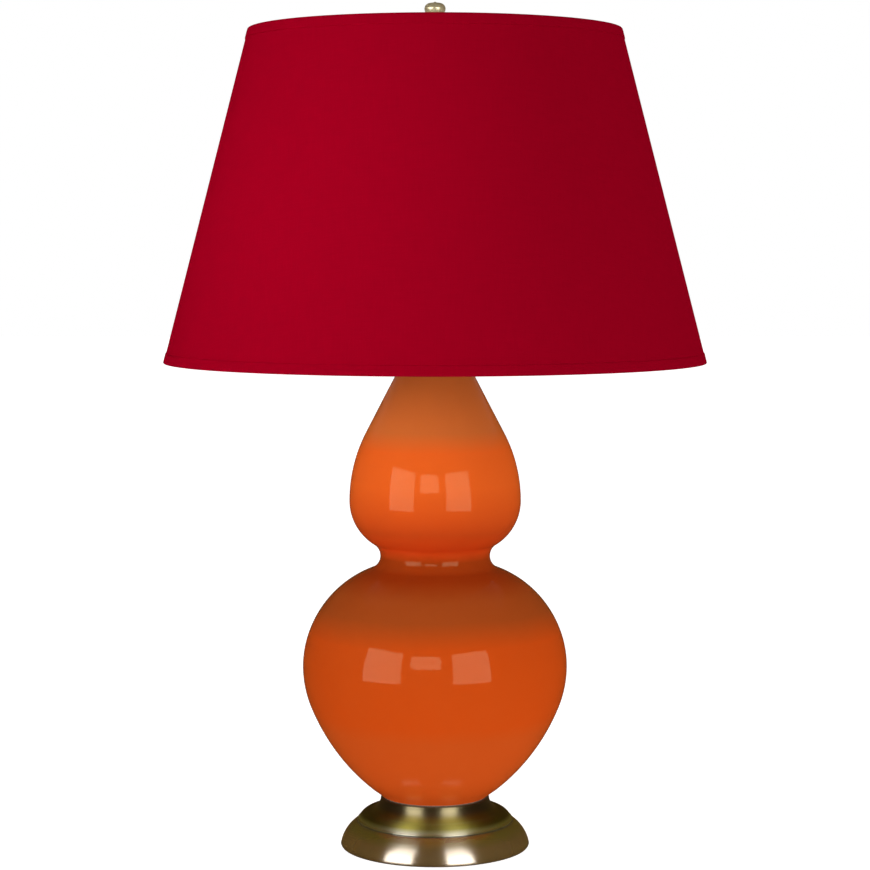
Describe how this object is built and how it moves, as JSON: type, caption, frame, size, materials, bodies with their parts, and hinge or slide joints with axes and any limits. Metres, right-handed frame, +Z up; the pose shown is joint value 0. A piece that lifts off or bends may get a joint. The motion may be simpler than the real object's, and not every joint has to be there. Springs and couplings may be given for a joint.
{
  "type": "table lamp",
  "caption": "Double gourd table lamp: glossy orange ceramic gourd on a round spun brass foot, crimson empire shade on a harp with a turned finial.",
  "frame": {"origin": "centre of the foot's underside, on the table, on the lamp's axis", "axes": "+Z up the lamp's axis; the harp stands in the XZ plane; -Y is the front, where the switch knob points; +Y is the back, where the cord enters the foot"},
  "size_m": [0.5031, 0.5032, 0.7868],
  "materials": {
    "orange_glaze": "smooth high-gloss glaze over slip-cast ceramic",
    "antique_brass": "spun brass with a dark antique patina, waxed",
    "finial_brass": "turned brass, lightly aged",
    "polished_brass": "lacquered brass",
    "harp_brass": "brass-plated wire, satin",
    "cast_weight": "rough cast, unpainted",
    "zinc_steel": "zinc-plated threads and stampings",
    "felt": "dark green pressed felt",
    "gasket_rubber": "thin black sheet rubber",
    "bushing_plastic": "black moulded bushing",
    "socket_brass": "drawn brass shell, satin",
    "socket_fibre": "pressed insulating fibre",
    "socket_moulding": "black moulded phenolic",
    "knob_plastic": "black moulded knob with fine ribs",
    "contact_metal": "plated spring contact",
    "bulb_glass": "inside-frosted lamp glass",
    "bulb_cap_metal": "rolled thread, bare",
    "bulb_button": "black vitreous button",
    "stem_glass": "clear stem glass",
    "filament_wire": "tungsten and nickel wire",
    "shade_cloth": "crimson plain-weave cotton, laminated",
    "hem_cloth": "folded self-fabric hem, glued",
    "shade_liner": "off-white styrene liner, matt",
    "shade_wire": "white painted wire",
    "spider_brass": "brass-plated wire and washer"
  },
  "bodies": {
    "stand": {"foot_felt": "felt", "foot_shell": "antique_brass", "foot_weight": "cast_weight", "cord_bushing": "bushing_plastic", "lamp_pipe": "zinc_steel", "foot_lock_washer": "zinc_steel", "foot_nut": "zinc_steel", "check_nut": "zinc_steel", "foot_gasket": "gasket_rubber", "gourd_body": "orange_glaze", "neck_gasket": "gasket_rubber", "vase_cap": "polished_brass", "neck_spindle": "polished_brass", "harp_saddle": "harp_brass", "socket_cap": "socket_brass", "socket_set_screw": "zinc_steel", "socket_shell": "socket_brass", "socket_insulator": "socket_fibre", "terminal_screw_left": "contact_metal", "terminal_screw_right": "contact_metal", "socket_block": "socket_moulding", "screw_shell": "socket_brass", "centre_contact": "contact_metal"},
    "switch": {"switch_shaft": "zinc_steel", "switch_knob": "knob_plastic"},
    "bulb": {"bulb_contact": "contact_metal", "bulb_insulator": "bulb_button", "bulb_screw_cap": "bulb_cap_metal", "bulb_glass": "bulb_glass", "bulb_stem": "stem_glass", "bulb_filament": "filament_wire"},
    "harp": {"harp_loop": "harp_brass", "harp_stud": "harp_brass"},
    "sleeve_left": {"harp_sleeve_left": "polished_brass"},
    "sleeve_right": {"harp_sleeve_right": "polished_brass"},
    "shade": {"shade_fabric": "shade_cloth", "shade_liner": "shade_liner", "shade_bottom_trim": "hem_cloth", "shade_top_trim": "hem_cloth", "shade_bottom_ring": "shade_wire", "shade_top_ring": "shade_wire", "spider_hub": "spider_brass", "spider_arm_1": "spider_brass", "spider_arm_2": "spider_brass", "spider_arm_3": "spider_brass"},
    "finial": {"finial_base": "finial_brass", "finial_knob": "finial_brass"}
  },
  "joints": [
    {"name": "harp_lift", "type": "slide", "parent": "stand", "child": "harp", "axis": [0, 0, 1], "range_m": [0, 0.03]},
    {"name": "sleeve_left_slide", "type": "slide", "parent": "harp", "child": "sleeve_left", "axis": [0, 0, 1], "range_m": [0, 0.012]},
    {"name": "sleeve_right_slide", "type": "slide", "parent": "harp", "child": "sleeve_right", "axis": [0, 0, 1], "range_m": [0, 0.012]},
    {"name": "shade_turn", "type": "hinge", "parent": "harp", "child": "shade", "pos_m": [0, 0, 0.7495], "axis": [0, 0, 1], "continuous": true},
    {"name": "finial_turn", "type": "hinge", "parent": "harp", "child": "finial", "pos_m": [0, 0, 0.7506], "axis": [0, 0, 1], "continuous": true},
    {"name": "bulb_turn", "type": "hinge", "parent": "stand", "child": "bulb", "pos_m": [0, 0, 0.54], "axis": [0, 0, 1], "continuous": true},
    {"name": "switch_turn", "type": "hinge", "parent": "stand", "child": "switch", "pos_m": [0, -0.03, 0.5175], "axis": [0, -1, 0], "continuous": true}
  ]
}
